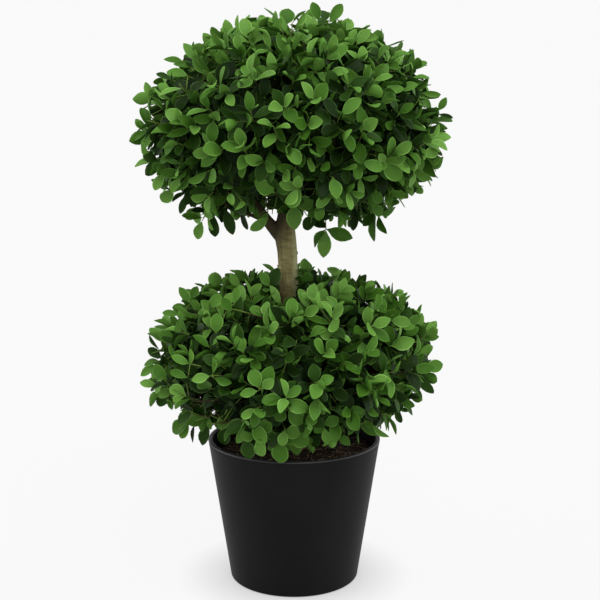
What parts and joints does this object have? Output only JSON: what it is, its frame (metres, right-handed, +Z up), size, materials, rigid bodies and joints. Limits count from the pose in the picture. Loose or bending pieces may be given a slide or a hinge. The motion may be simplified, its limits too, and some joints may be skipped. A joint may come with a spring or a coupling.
{
  "type": "potted ficus topiary",
  "caption": "Clipped topiary shrub with a lower and an upper ball of dense round leaves on one bare stem, standing in a plain tapered round pot filled with soil.",
  "frame": {"origin": "middle of the pot's flat underside", "axes": "+Z up along the stem; +X to the right and +Y away, seen from the front"},
  "size_m": [0.5223, 0.5096, 0.9809],
  "materials": {
    "pot_plastic": "matte black moulded plastic",
    "soil": "dark brown fibrous potting compost",
    "bark": "smooth grey-brown bark with faint rings",
    "foliage": "satin green leaves"
  },
  "bodies": {
    "root": {"pot": "pot_plastic", "soil": "soil", "trunk": "bark", "left_bough": "bark", "side_branch": "bark", "upper_foliage": "foliage", "lower_foliage": "foliage"}
  },
  "joints": []
}
